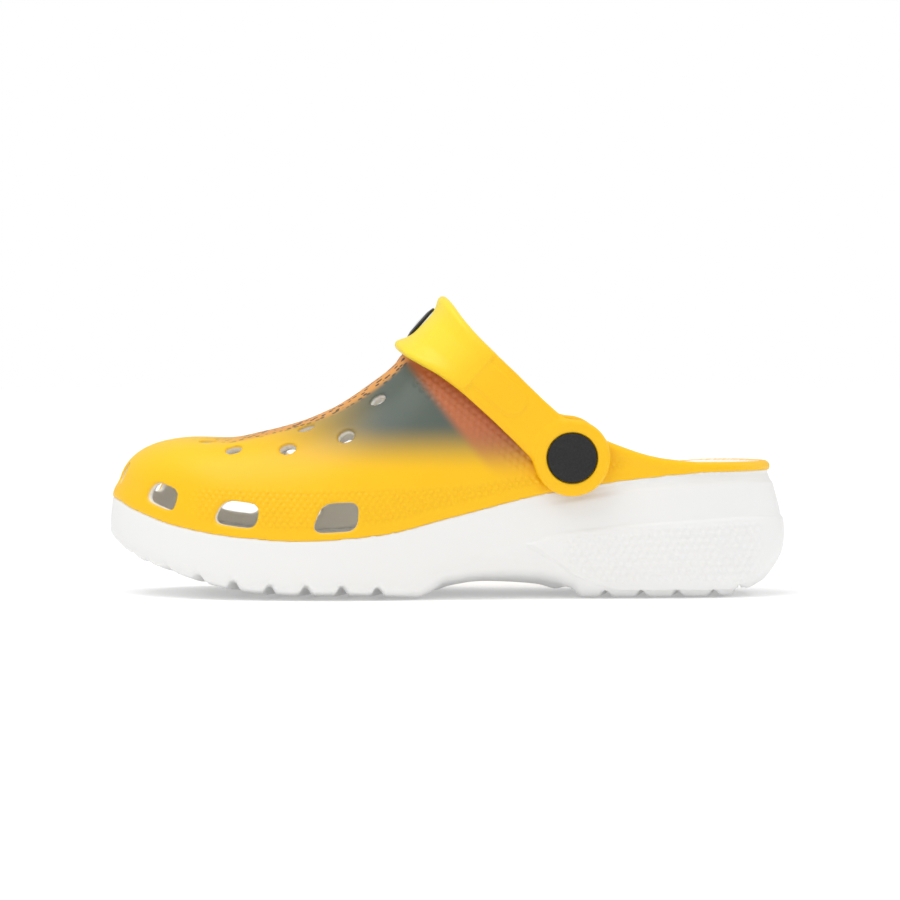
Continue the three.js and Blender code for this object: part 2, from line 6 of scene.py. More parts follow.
import bmesh
import bpy
import numpy as np
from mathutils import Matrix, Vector


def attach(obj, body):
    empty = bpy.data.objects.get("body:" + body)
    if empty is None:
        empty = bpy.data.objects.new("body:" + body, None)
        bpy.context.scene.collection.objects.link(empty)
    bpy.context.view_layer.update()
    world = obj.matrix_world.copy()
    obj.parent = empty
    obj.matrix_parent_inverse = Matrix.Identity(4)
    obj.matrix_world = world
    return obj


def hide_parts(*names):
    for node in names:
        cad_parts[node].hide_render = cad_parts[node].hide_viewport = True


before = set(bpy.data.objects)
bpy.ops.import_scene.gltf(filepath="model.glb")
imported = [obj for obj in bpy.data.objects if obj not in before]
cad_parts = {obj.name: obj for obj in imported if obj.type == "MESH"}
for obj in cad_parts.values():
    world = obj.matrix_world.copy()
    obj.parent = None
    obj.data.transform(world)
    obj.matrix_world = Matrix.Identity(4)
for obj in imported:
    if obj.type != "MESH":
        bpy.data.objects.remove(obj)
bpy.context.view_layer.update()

# ---- Sizes, in millimetres -----------------------------------------------------------------------

LENGTH, WIDTH = 280.0, 110.0
HALF = LENGTH / 2
GAP = 0.3  # between pieces that lie on each other
SEAM_FIT, SEAM_LAP, SEAM_PROUD = 0.06, 0.4, 0.12  # the upper's foot laps the sole and stands proud of it
UPPER_WALL = 4.0
SOLE_WALL = 5.0
FOOTBED_THICKNESS = 3.5
TOE_ANCHOR, HEEL_ANCHOR = -0.43 * HALF, 0.68 * HALF
THROAT = -0.108 * HALF

# The sole's widest outline from above, in shares of half the length and half the width.
OUTLINE = [
    (-1, 0.14), (-0.955, -0.25), (-0.84, -0.58), (-0.68, -0.85), (-0.46, -0.98), (-0.32, -1),
    (-0.14, -0.945), (0.07, -0.84), (0.286, -0.76), (0.5, -0.72), (0.7, -0.685), (0.87, -0.56),
    (0.97, -0.29), (1, 0), (0.97, 0.29), (0.87, 0.56), (0.7, 0.685), (0.5, 0.715), (0.286, 0.74),
    (0.07, 0.78), (-0.14, 0.87), (-0.36, 0.965), (-0.54, 1), (-0.72, 0.93), (-0.86, 0.75), (-0.96, 0.46),
]


def profile(points, unit=HALF):
    """A smooth monotone curve through points: places in the given unit, values in millimetres."""
    px = np.array([p[0] for p in points], float)
    py = np.array([p[1] for p in points], float)
    rise = np.diff(py) / np.diff(px)
    slope = np.zeros(len(px))
    for i in range(1, len(px) - 1):
        a, b = rise[i - 1], rise[i]
        slope[i] = 0 if a * b <= 0 else 2 * a * b / (a + b)

    def at(x):
        s = np.clip(np.asarray(x, float) / unit, px[0], px[-1])
        i = np.clip(np.searchsorted(px, s) - 1, 0, len(px) - 2)
        h = px[i + 1] - px[i]
        t = (s - px[i]) / h
        return (py[i] * (1 + 2 * t) * (1 - t) ** 2 + slope[i] * h * t * (1 - t) ** 2
                + py[i + 1] * t * t * (3 - 2 * t) + slope[i + 1] * h * t * t * (t - 1))

    return at


SEAM = profile([
    (-1, 40), (-0.93, 36), (-0.8, 30), (-0.6, 25.6), (-0.42, 24.2), (-0.2, 26.4), (0.02, 33.7),
    (0.3, 43.3), (0.6, 49.6), (0.8, 51.8), (1, 52),
])
RIDGE = profile([
    (-1, 66.6), (-0.78, 66), (-0.64, 64.8), (-0.55, 67), (-0.43, 71.5), (-0.33, 77.5), (-0.25, 84.5),
    (-0.17, 93), (-0.108, 101), (0, 112), (0.15, 122), (0.4, 128), (1, 128),
])
COLLAR = profile([
    (-0.108, 101.5), (-0.06, 99.6), (0, 96), (0.14, 87.5), (0.25, 80), (0.357, 72.3), (0.41, 68.6),
    (0.46, 64.8), (0.52, 61.4), (0.59, 58.2), (0.65, 56.6), (0.75, 55.3), (0.87, 55.2), (1.1, 55.4),
])
MEDIAL_DIP = profile([(-0.108, 0), (0.1, 3.4), (0.6, 3.4), (0.78, 0.4), (0.9, 0), (1, 0)])
BOTTOM = profile([
    (-1, 21), (-0.94, 17), (-0.89, 13.2), (-0.82, 9.2), (-0.76, 6.6), (-0.63, 2.4), (-0.52, 0.5),
    (-0.44, 0), (-0.085, 0), (-0.045, 2.2), (0, 5.8), (0.12, 7), (0.25, 6.8), (0.33, 5.4), (0.367, 3.7),
    (0.4, 0), (0.8, 0), (0.87, 2), (0.93, 5.5), (1, 11),
])
FLOOR = profile([
    (-1, 30), (-0.85, 24.5), (-0.7, 19.5), (-0.5, 15.8), (-0.3, 15.2), (0, 19), (0.3, 22), (0.6, 22),
    (1, 23),
])
LEAN = profile([(-1, 1.2), (0, 2), (0.7, 2.5), (0.9, 4.5), (1, 6)])
TUCK = profile([(-1, 9), (-0.1, 9), (0.12, 22), (0.27, 18), (0.38, 10), (0.5, 8), (1, 9)])
RIDGE_SHIFT = profile([(-1, 0), (-0.43, 2), (-0.1, 3), (0.3, 3), (0.68, 0), (1, 0)])
SIDE_POWER = profile([(-1, 5), (-0.8, 4.6), (-0.6, 3.4), (-0.3, 2.4), (-0.1, 2.05), (1, 2.05)])
TOP_POWER = profile([(-1, 2.2), (-0.4, 2), (1, 2)])


# ---- Fields --------------------------------------------------------------------------------------

SPAN_STEPS = 120
SMOOTHING, SMOOTHING_REACH = 5.0, 18


def outline_line(count=1440):
    """The sole's widest outline as a fine closed line, smoothed a little and fitted to its size."""
    p = np.array(OUTLINE, float) * (HALF, WIDTH / 2)
    rows = []
    n = len(p)
    for i in range(n):
        a, b, c, d = p[i - 1], p[i], p[(i + 1) % n], p[(i + 2) % n]
        t0, t1, t2 = (np.linalg.norm(v) ** 0.5 for v in (b - a, c - b, d - c))
        m1 = ((b - a) / t0 - (c - a) / (t0 + t1) + (c - b) / t1) * t1
        m2 = ((c - b) / t1 - (d - b) / (t1 + t2) + (d - c) / t2) * t1
        t = np.linspace(0, 1, SPAN_STEPS, endpoint=False)[:, None]
        rows.append((2 * t**3 - 3 * t**2 + 1) * b + (t**3 - 2 * t**2 + t) * m1
                    + (3 * t**2 - 2 * t**3) * c + (t**3 - t**2) * m2)
    line = np.concatenate(rows)
    closed = np.vstack([line, line[:1]])
    along = np.concatenate([[0], np.cumsum(np.linalg.norm(np.diff(closed, axis=0), axis=1))])
    s = np.linspace(0, along[-1], count, endpoint=False)
    line = np.stack([np.interp(s, along, closed[:, k]) for k in range(2)], axis=1)
    step = along[-1] / count
    reach = int(SMOOTHING_REACH / step)
    weight = np.exp(-0.5 * (np.arange(-reach, reach + 1) * step / SMOOTHING) ** 2)
    weight /= weight.sum()
    line = sum(w * np.roll(line, k - reach, axis=0) for k, w in enumerate(weight))
    low, high = line.min(axis=0), line.max(axis=0)
    return (line - (low + high) / 2) / (high - low) * (LENGTH, WIDTH)


LINE = outline_line()


def side_line(side):
    """The outline on one side as y over x, between the toe tip and the heel tip."""
    toe, heel = LINE[:, 0].argmin(), LINE[:, 0].argmax()
    n = len(LINE)
    way = np.arange((heel - toe) % n + 1) if side < 0 else -np.arange((toe - heel) % n + 1)
    run = LINE[(toe + way) % n]
    order = np.argsort(run[:, 0])
    return run[order, 0], run[order, 1]


LATERAL, MEDIAL = side_line(-1), side_line(1)


def spine(x):
    """The y of the upper's ridge, between the outline's sides."""
    return (np.interp(x, *LATERAL) + np.interp(x, *MEDIAL)) / 2 + RIDGE_SHIFT(x)


class Plan:
    """For places (x, y): the anchor's distance, the reach of the outline along the same ray, and the x of
    the outline's point on it."""

    def __init__(self, x, y):
        x, y = np.broadcast_arrays(np.atleast_1d(x).astype(float), np.atleast_1d(y).astype(float))
        self.x, self.y = x, y
        mid = spine(x)
        side_y = np.where(y < mid, np.interp(x, *LATERAL), np.interp(x, *MEDIAL))
        self.d = np.abs(y - mid)
        self.r = np.abs(side_y - mid)
        self.ex = x.copy()
        self.side = np.where(y < mid, -1.0, 1.0)
        ends = ((TOE_ANCHOR, x < TOE_ANCHOR, math.pi), (HEEL_ANCHOR, x > HEEL_ANCHOR, 0))
        for anchor_x, zone, turn in ends:
            anchor = np.array([anchor_x, float(spine(anchor_x))])
            rel = LINE - anchor
            angle = np.mod(np.arctan2(rel[:, 1], rel[:, 0]) + math.pi - turn, 2 * math.pi)
            order = np.argsort(angle)
            px, py = x[zone] - anchor[0], y[zone] - anchor[1]
            here = np.mod(np.arctan2(py, px) + math.pi - turn, 2 * math.pi)
            self.d[zone] = np.hypot(px, py)
            self.r[zone] = np.interp(here, angle[order], np.hypot(rel[:, 0], rel[:, 1])[order])
            self.ex[zone] = np.interp(here, angle[order], LINE[order, 0])


def smax(a, b, k):
    """The larger of two fields, with the corner between them rounded over about k."""
    h = np.clip(k - np.abs(a - b), 0, None) / k
    return np.maximum(a, b) + h * h * k * 0.25


def smin(a, b, k):
    return -smax(-a, -b, k)


def step(x, a, b):
    """A smooth rise from 0 at a to 1 at b."""
    t = np.clip((x - a) / (b - a), 0, 1)
    return t * t * (3 - 2 * t)


class Grid:
    """A box of cells of one size, with its axes ready for broadcasting."""

    def __init__(self, low, high, h):
        self.h = h
        self.low = np.array(low, float)
        n = np.ceil((np.array(high) - self.low) / h).astype(int) + 1
        axes = [self.low[k] + h * np.arange(n[k]) for k in range(3)]
        self.x = axes[0][:, None, None]
        self.y = axes[1][None, :, None]
        self.z = axes[2][None, None, :]
        self.plan = Plan(axes[0][:, None], axes[1][None, :])

    def flat(self, values):
        """A plan table as a column field."""
        return np.asarray(values, np.float32)[:, :, None]

    def box(self, centre, reach):
        """The slices of the cells near a point."""
        cut = []
        for k, axis in enumerate((self.x, self.y, self.z)):
            a = axis.ravel()
            i = np.searchsorted(a, centre[k] - reach)
            j = np.searchsorted(a, centre[k] + reach)
            cut.append(slice(int(i), int(j)))
        return tuple(cut)


def true_distance(f, h):
    """A field scaled to unit slope."""
    gx, gy, gz = np.gradient(f, h)
    return f / np.sqrt(np.maximum(gx * gx + gy * gy + gz * gz, 1e-6))


CORNERS = [(a, b, c) for a in (0, 1) for b in (0, 1) for c in (0, 1)]


def sample(f, grid, p):
    """The field at points, between the cells' corners."""
    q = (p - grid.low) / grid.h
    n = np.array(f.shape) - 2
    i = np.clip(np.floor(q).astype(int), 0, n)
    t = np.clip(q - i, 0, 1)
    out = np.zeros(len(p))
    for c in CORNERS:
        w = np.prod([t[:, k] if c[k] else 1 - t[:, k] for k in range(3)], axis=0)
        out += w * f[i[:, 0] + c[0], i[:, 1] + c[1], i[:, 2] + c[2]]
    return out


def slope_at(f, grid, p):
    """The field's gradient at points."""
    e = grid.h * 0.7
    parts = []
    for k in range(3):
        d = np.zeros(3)
        d[k] = e
        parts.append((sample(f, grid, p + d) - sample(f, grid, p - d)) / (2 * e))
    return np.stack(parts, axis=1)


def settled(points, f, grid):
    """Points near the zero surface of a field, moved onto it."""
    for _ in range(2):
        g = slope_at(f, grid, points)
        length = np.maximum((g * g).sum(axis=1), 1e-4)
        move = -g * (sample(f, grid, points) / length)[:, None]
        far = np.linalg.norm(move, axis=1)
        move *= np.minimum(1, 0.5 * grid.h / np.maximum(far, 1e-9))[:, None]
        points = points + move
    return points


def surface(f, grid):
    """The zero surface of a field as points and four-sided faces."""
    inside = f < 0
    nx, ny, nz = (s - 1 for s in f.shape)
    count = np.zeros((nx, ny, nz), np.uint8)
    for a, b, c in CORNERS:
        count += inside[a:a + nx, b:b + ny, c:c + nz]
    active = (count > 0) & (count < 8)
    index = np.full(active.shape, -1, np.int64)
    cells = np.argwhere(active)
    index[active] = np.arange(len(cells))
    total = np.zeros((len(cells), 3))
    weight = np.zeros(len(cells))
    for a in CORNERS:
        for k in range(3):
            if a[k]:
                continue
            b = list(a)
            b[k] = 1
            fa = f[tuple(cells[:, m] + a[m] for m in range(3))]
            fb = f[tuple(cells[:, m] + b[m] for m in range(3))]
            cross = (fa < 0) != (fb < 0)
            t = np.where(cross, fa / np.where(cross, fa - fb, 1), 0)
            p = np.tile(np.array(a, float), (len(cells), 1))
            p[:, k] = t
            total += p * cross[:, None]
            weight += cross
    points = grid.low + grid.h * (cells + total / weight[:, None])
    faces = []
    for k in range(3):
        u, v = (k + 1) % 3, (k + 2) % 3
        here = [slice(None)] * 3
        there = [slice(None)] * 3
        here[k], there[k] = slice(0, -1), slice(1, None)
        for m in (u, v):
            here[m] = there[m] = slice(1, -1)
        a, b = inside[tuple(here)], inside[tuple(there)]
        edges = np.argwhere(a != b)
        out = a[tuple(edges.T)]
        edges[:, u] += 1
        edges[:, v] += 1
        quad = []
        for du, dv in ((-1, -1), (0, -1), (0, 0), (-1, 0)):
            c = edges.copy()
            c[:, u] += du
            c[:, v] += dv
            quad.append(index[tuple(c.T)])
        quad = np.stack(quad, axis=1)
        quad[~out] = quad[~out][:, ::-1]
        faces.append(quad)
    return settled(points, f, grid), np.concatenate(faces)


def normals_of(points, faces):
    """Each point's direction out of its faces. Faces with more than four sides are left out."""
    quads = np.array([face for face in faces if len(face) == 4])
    a, b, c, d = (points[quads[:, k]] for k in range(4))
    n = np.cross(c - a, d - b)
    out = np.zeros_like(points)
    for k in range(4):
        np.add.at(out, quads[:, k], n)
    return out / np.maximum(np.linalg.norm(out, axis=1), 1e-9)[:, None]


def refine(points, faces, chosen):
    """Cuts the chosen four-sided faces into four, and joins them to the rest by faces with more
    sides."""
    cut = faces[chosen]
    edges = np.concatenate([np.stack([cut[:, k], cut[:, (k + 1) % 4]], 1) for k in range(4)])
    edges = np.unique(np.sort(edges, axis=1), axis=0)
    middle = {(int(a), int(b)): len(points) + i for i, (a, b) in enumerate(edges)}
    first_centre = len(points) + len(edges)
    made = []
    for i, quad in enumerate(cut.tolist()):
        m = [middle[min(quad[k], quad[(k + 1) % 4]), max(quad[k], quad[(k + 1) % 4])] for k in range(4)]
        made += [(quad[k], m[k], first_centre + i, m[k - 1]) for k in range(4)]
    touched = np.zeros(len(points), bool)
    touched[cut.ravel()] = True
    rest = faces[~chosen]
    near = touched[rest].sum(axis=1) >= 2
    joined = []
    for quad in rest[near].tolist():
        ring = []
        for k in range(4):
            a, b = quad[k], quad[(k + 1) % 4]
            ring += [a] + ([middle[min(a, b), max(a, b)]] if (min(a, b), max(a, b)) in middle else [])
        joined.append(tuple(ring))
    own = np.arange(len(points))[:, None].repeat(4, axis=1)
    parents = np.concatenate([own, edges[:, [0, 0, 1, 1]], cut])
    return points[parents].mean(axis=1), rest[~near].tolist() + made + joined


# ---- Meshes and materials ------------------------------------------------------------------------

JOIN_DISTANCE = 0.02


def make_mesh(name, points, faces, attributes=None):
    """A smooth mesh from points in millimetres, with numbers per point."""
    mesh = bpy.data.meshes.new(name)
    faces = faces if isinstance(faces, list) else faces.tolist()
    mesh.from_pydata((np.asarray(points) * 0.001).tolist(), [], faces)
    for key, values in (attributes or {}).items():
        layer = mesh.attributes.new(key, "FLOAT", "POINT")
        layer.data.foreach_set("value", np.asarray(values, np.float32))
    # Points that all but coincide are joined, which takes out nearly every sliver without area.
    clean = bmesh.new()
    clean.from_mesh(mesh)
    bmesh.ops.remove_doubles(clean, verts=list(clean.verts), dist=JOIN_DISTANCE * 0.001)
    clean.to_mesh(mesh)
    clean.free()
    mesh.polygons.foreach_set("use_smooth", np.ones(len(mesh.polygons), bool))
    obj = bpy.data.objects.new(name, mesh)
    bpy.context.scene.collection.objects.link(obj)
    return obj


def linear(r, g, b):
    """A colour as it looks on a screen, 0 to 255, as the shader's linear colour."""
    shares = [c / 255 for c in (r, g, b)]
    return tuple(((c + 0.055) / 1.055) ** 2.4 if c > 0.0404 else c / 12.92 for c in shares) + (1.0,)


# The toe's lighter yellow is partly its lemon print and partly a painted highlight on the top of the toe.
SIDE_YELLOW, TOE_PRINT_AND_HIGHLIGHT = linear(251, 196, 18), linear(251, 205, 22)
# The strap's crown colour is a painted highlight: the crown is drawn lighter because its top faces the
# light.
STRAP_YELLOW, CROWN_PAINTED_HIGHLIGHT = linear(251, 195, 18), linear(253, 226, 58)
HAZE, RUST = linear(88, 98, 90), linear(192, 114, 74)
SPOT_GROUND, SPOT = linear(232, 160, 70), linear(58, 38, 30)
LINING, SOLE_WHITE, FOOTBED_WHITE = linear(254, 251, 243), linear(236, 236, 235), linear(250, 247, 240)
RIVET_DARK, RIVET_LIGHT = linear(8, 8, 9), linear(52, 52, 53)
BADGE_WHITE, BADGE_INK = linear(244, 244, 242), linear(26, 26, 28)
YELLOW_SCATTER, WHITE_SCATTER = (1.0, 0.5, 0.1), (1.0, 0.9, 0.8)
SCATTER_SCALE = 0.002


class Shader:
    """A small helper that builds one material's nodes."""

    def __init__(self, name):
        self.material = bpy.data.materials.new(name)
        self.material.use_nodes = True
        self.tree = self.material.node_tree
        self.bsdf = self.tree.nodes["Principled BSDF"]
        self.coord = self.node("ShaderNodeTexCoord").outputs["Object"]

    def node(self, kind, **settings):
        n = self.tree.nodes.new(kind)
        for key, value in settings.items():
            setattr(n, key, value)
        return n

    def link(self, a, b):
        if isinstance(a, (int, float, tuple)):
            b.default_value = a
        else:
            self.tree.links.new(a, b)

    def attribute(self, name):
        return self.node("ShaderNodeAttribute", attribute_name=name).outputs["Fac"]

    def mix(self, fac, a, b):
        n = self.node("ShaderNodeMix", data_type="RGBA")
        self.link(fac, n.inputs["Factor"])
        self.link(a, n.inputs[6])
        self.link(b, n.inputs[7])
        return n.outputs[2]

    def noise(self, scale, detail=3.0, roughness=0.5):
        n = self.node("ShaderNodeTexNoise")
        self.link(self.coord, n.inputs["Vector"])
        n.inputs["Scale"].default_value = scale
        n.inputs["Detail"].default_value = detail
        n.inputs["Roughness"].default_value = roughness
        return n.outputs["Fac"]

    def ramp(self, value, low, high):
        n = self.node("ShaderNodeMapRange", interpolation_type="SMOOTHSTEP")
        self.link(value, n.inputs["Value"])
        n.inputs["From Min"].default_value = low
        n.inputs["From Max"].default_value = high
        return n.outputs["Result"]

    def bump(self, height, strength, distance):
        n = self.node("ShaderNodeBump")
        self.link(height, n.inputs["Height"])
        n.inputs["Strength"].default_value = strength
        n.inputs["Distance"].default_value = distance
        self.link(n.outputs["Normal"], self.bsdf.inputs["Normal"])

    def finish(self, color, roughness, subsurface=0.0, radius=WHITE_SCATTER):
        self.link(color, self.bsdf.inputs["Base Color"])
        self.bsdf.inputs["Roughness"].default_value = roughness
        self.bsdf.inputs["Specular IOR Level"].default_value = 0.3
        if subsurface:
            self.bsdf.inputs["Subsurface Weight"].default_value = subsurface
            self.bsdf.inputs["Subsurface Radius"].default_value = radius
            self.bsdf.inputs["Subsurface Scale"].default_value = SCATTER_SCALE
        return self.material


def dress(obj, material, body, slot, *nodes):
    """Gives a piece its material and its body, and hides the CAD nodes that it stands for. The slot is not
    used.
    """
    obj.data.materials.append(material)
    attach(obj, body)
    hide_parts(*nodes)


# ---- Upper ---------------------------------------------------------------------------------------

LOBE_RADIUS, LOBE_THICKNESS = 15.7, 4.5
PIVOT_X = 0.367 * HALF
PIVOT_Z = float(SEAM(PIVOT_X)) + 12.5
BOSS_RADIUS = 9.0
LOBE_TOE_END = PIVOT_X - LOBE_RADIUS
EAR_FACE = float(max(-np.interp(LOBE_TOE_END, *LATERAL), np.interp(LOBE_TOE_END, *MEDIAL))
                 - LEAN(LOBE_TOE_END)) + 0.2
STEM_RADIUS, STEM_BORE, STEM_CLEARANCE = 4.0, 2.6, 0.5
BACK_RADIUS, BACK_THICKNESS = 8.5, 2.0


def dome_height(x, y, wall=0.0):
    """The height of the upper's outer skin at places beside the spine."""
    p = Plan(x, y)
    reach = p.r - LEAN(p.ex) - wall
    out = np.clip(p.d / reach, 0, 1)
    up = (1 - out ** SIDE_POWER(p.ex)) ** (1 / TOP_POWER(p.ex))
    return SEAM(p.ex) + (RIDGE(p.x) - wall - SEAM(p.ex)) * up


def ear_reach(z):
    """How far the upper's outer skin is from the middle plane at the pivot, on each side."""
    rise = (z - SEAM(PIVOT_X)) / (RIDGE(PIVOT_X) - SEAM(PIVOT_X))
    out = (1 - rise ** TOP_POWER(PIVOT_X)) ** (1 / SIDE_POWER(PIVOT_X))
    mid = float(spine(PIVOT_X))
    sides = (np.interp(PIVOT_X, *LATERAL), np.interp(PIVOT_X, *MEDIAL))
    return [abs(mid + np.sign(s) * (abs(s - mid) - LEAN(PIVOT_X)) * out) for s in sides]


EAR_BACK = float(min(ear_reach(PIVOT_Z + BACK_RADIUS))) - UPPER_WALL - GAP

VENTS = [  # side, share of the half length, height over the seam, scale along and up
    (-1, -0.996, 10, 0.6, 0.8), (-1, -0.85, 10, 0.98, 0.86), (-1, -0.618, 9.3, 1.1, 0.95),
    (-1, -0.317, 9, 1.1, 1.1),
    (1, -0.92, 11, 0.8, 0.8), (1, -0.645, 10.5, 1.05, 0.9), (1, -0.44, 9.8, 1.0, 0.9),
]
VENT_CORNERS = [(-9, -5.4), (-4.8, 5.2), (8.6, 4.6), (7.8, -5.8)]
VENT_ROUNDING = 4.5
HOLES = [  # share of the half length, distance from the ridge
    (-0.62, 33), (-0.46, 38), (-0.29, 38.5), (-0.7, 19), (-0.41, 25), (-0.2, 27.5),
    (-0.54, 0), (-0.33, 0), (-0.18, 0),
]
HOLE_RADIUS = 3.4
TOE_FLARE = 1.8  # how far the toe's lower edge stands out
LIP_RADIUS, LIP_DROP = 2.55, 2.5  # the collar's thick rolled lip, and its centre under the collar's line


def rounded_polygon(u, v, corners, rounding):
    """A field that is negative inside a convex polygon with rounded corners."""
    ring = list(zip(corners, corners[1:] + corners[:1]))
    turn = np.sign(sum(a[0] * b[1] - b[0] * a[1] for a, b in ring))
    field = None
    for a, b in ring:
        run, rise = b[0] - a[0], b[1] - a[1]
        line = turn * ((u - a[0]) * rise - (v - a[1]) * run) / math.hypot(run, rise)
        field = line if field is None else smax(field, line, rounding)
    return field


def vent_frames():
    """Each vent's side, the outline's point on it, its way out, its height over the seam and its scales."""
    for side, share, lift, wide, tall in VENTS:
        x = share * HALF
        from_x = max(x, TOE_ANCHOR)
        origin = np.array([from_x, float(spine(from_x))])
        edge = np.array([x, float(np.interp(x, *(LATERAL if side < 0 else MEDIAL)))])
        yield side, edge, (edge - origin) / np.linalg.norm(edge - origin), lift, wide, tall


def build_upper(h):
    """The upper's points and faces, a function that moves points onto it, and one that gives their depth
    under the outer skin and their height over the collar's line."""
    g = Grid((-141, -56, 22), (136, 56, 104), h)
    p = g.plan
    seam, ridge = g.flat(SEAM(p.ex)), g.flat(RIDGE(p.x))
    side_power, top_power = g.flat(SIDE_POWER(p.ex)), g.flat(TOP_POWER(p.ex))
    z = g.z.astype(np.float32)

    def dome(wall):
        flare = TOE_FLARE * step(z - seam, 1, 8) * g.flat(1 - step(p.ex, -138, -120))
        a = g.flat(p.d) / np.maximum(g.flat(p.r - LEAN(p.ex) + SEAM_PROUD - wall) - flare, 1)
        b = np.clip((z - seam) / (ridge - wall - seam), 0, 3)
        f = (a ** side_power + b ** top_power) ** 0.4 - 1
        return true_distance(f.astype(np.float32), h)

    outer, inner = dome(0), dome(UPPER_WALL)
    shell = smax(outer, -inner, 1.2)
    medial = step(g.y, -8, 8)
    line = COLLAR(g.x) - MEDIAL_DIP(g.x) * medial
    slope = np.gradient(line, h, axis=0)
    above = ((z - line) / np.sqrt(1 + slope**2)).astype(np.float32)
    cut = np.minimum(above, (g.x - THROAT + 1.2).astype(np.float32))
    lip = np.sqrt((outer + UPPER_WALL / 2) ** 2 + (cut + LIP_DROP) ** 2) - LIP_RADIUS
    lip = np.where(g.x > THROAT - 6, lip, 9)
    f = smax(shell, cut + 0.6, 2.2)
    f = smin(f, lip.astype(np.float32), 1.6)
    del inner
    for side in (-1, 1):
        cell = g.box((PIVOT_X, side * (EAR_BACK + EAR_FACE) / 2, PIVOT_Z), 16)
        x, y, zz = g.x[cell[0]], g.y[:, cell[1]] * side, g.z[:, :, cell[2]]
        radial = np.hypot(x - PIVOT_X, zz - PIVOT_Z)
        through = np.abs(y - (EAR_BACK + EAR_FACE) / 2) - (EAR_FACE - EAR_BACK) / 2
        boss = smax(radial - BOSS_RADIUS, through, 0.8)
        part = smin(f[cell], boss, 1.2)
        f[cell] = smax(part, -(radial - STEM_RADIUS - STEM_CLEARANCE), 0.6)
    for side, edge, way, lift, wide, tall in vent_frames():
        cell = g.box((edge[0], edge[1], float(SEAM(edge[0])) + lift), 20)
        x, y, zz = g.x[cell[0]], g.y[:, cell[1]], g.z[:, :, cell[2]]
        u = ((x - edge[0]) * -way[1] + (y - edge[1]) * way[0]) * side
        out = (x - edge[0]) * way[0] + (y - edge[1]) * way[1]
        up = zz - seam[cell[0], cell[1]] - lift
        corners = [(-a * wide, b * tall) for a, b in VENT_CORNERS]
        hole = rounded_polygon(u, up, corners, VENT_ROUNDING)
        hole = np.maximum(hole, np.abs(out + 4) - 16)
        f[cell] = smax(f[cell], -hole, 1.4)
    for share, off in HOLES:
        for side in ((-1, 1) if off else (1,)):
            x0 = share * HALF
            y0 = float(spine(x0)) + side * off
            around = ((0, 0), (-1, 0), (1, 0), (0, -1), (0, 1))
            top = [float(dome_height(x0 + a, y0 + b)[0]) for a, b in around]
            n = np.array([(top[1] - top[2]) / 2, (top[3] - top[4]) / 2, 1.0])
            n /= np.linalg.norm(n)
            cell = g.box((x0, y0, top[0]), 9)
            dx, dy = g.x[cell[0]] - x0, g.y[:, cell[1]] - y0
            dz = g.z[:, :, cell[2]] - top[0]
            axial = dx * n[0] + dy * n[1] + dz * n[2]
            radial = np.sqrt(np.maximum(dx * dx + dy * dy + dz * dz - axial**2, 0))
            hole = np.maximum(radial - HOLE_RADIUS, np.abs(axial) - 8)
            f[cell] = smax(f[cell], -hole, 1.0)
    f = smax(f, (seam - SEAM_LAP - z).astype(np.float32), 0.3)
    f, cut = f.astype(np.float32), cut.astype(np.float32)

    def onto(places):
        return settled(places, f, g)

    def measure(places):
        return -sample(outer, g, places), sample(cut, g, places)

    return *surface(f, g), onto, measure


def bump_lattice(u, v, pitch_u, pitch_v, radius):
    """Staggered round bumps: 1 at each middle, 0 between."""
    row = np.round(v / pitch_v)
    shift = np.where(np.mod(row, 2) > 0.5, 0.5, 0.0)
    du = (u / pitch_u - shift - np.round(u / pitch_u - shift)) * pitch_u
    dv = v - row * pitch_v
    return 1 - step(np.hypot(du, dv), 0.25 * radius, radius)


def bump_zones(points):
    """Where the upper's side has its fine bumps: along the foot of the wall, and along the strap's edge."""
    x, z = points[:, 0], points[:, 2]
    seam = SEAM(x)
    top = profile([(-0.8, 45), (-0.44, 44.5), (0.02, 46), (0.3, 52), (0.5, 57)])(x)
    band = step(z, seam + 3.6, seam + 5.2) * (1 - step(z, top - 1.2, top + 0.4))
    band *= step(x, -108, -96) * (1 - step(x, 71, 75))
    # The strap's front edge at rest runs from the throat down to the lobe.
    ax, az, bx, bz = -12.0, 90.0, 36.0, 50.0
    length = math.hypot(bx - ax, bz - az)
    along = ((x - ax) * (bx - ax) + (z - az) * (bz - az)) / length
    across = ((x - ax) * (bz - az) - (z - az) * (bx - ax)) / length
    strip = step(across, -8, -6) * (1 - step(across, 1.5, 4.5))
    strip = strip * step(along, -3, 3) * (1 - step(along, 56, 62))
    return band, strip * (1 - band), along, across


UPPER_CELL, UPPER_CELL_QUICK = 1.15, 1.4
SKIN_DEPTH, BELOW_LIP = 0.4, -1.5
BAND_BUMP, BAND_RECESS, STRIP_BUMP = 0.5, 0.25, 0.45

points, faces, onto, measure = build_upper(UPPER_CELL)
depth, collar = measure(points)
outside = (depth < SKIN_DEPTH) & (collar < BELOW_LIP)
band, strip, _, _ = bump_zones(points)
rim = (depth > 0.3) & (depth < 2.6) & (collar < BELOW_LIP)
bumpy = outside & (band + strip > 0.02) | rim
points, faces = refine(points, faces, bumpy[faces].any(axis=1))
points = onto(points)
depth, collar = measure(points)
outside = (depth < SKIN_DEPTH) & (collar < BELOW_LIP)
band, strip, along, across = bump_zones(points)
# The band's rows follow the seam in part, and its pitch allows for the wall's curve.
wall_along, wall_up = points[:, 0] * 1.08, points[:, 2] - 0.55 * SEAM(points[:, 0])
lift = BAND_BUMP * band * bump_lattice(wall_along, wall_up, 3.0, 1.9, 1.35)
lift += STRIP_BUMP * strip * bump_lattice(along, across, 3.3, 2.6, 1.6)
lift -= BAND_RECESS * band
points = points + normals_of(points, faces) * (lift * outside)[:, None]

x, y, z = points[:, 0], points[:, 1], points[:, 2]
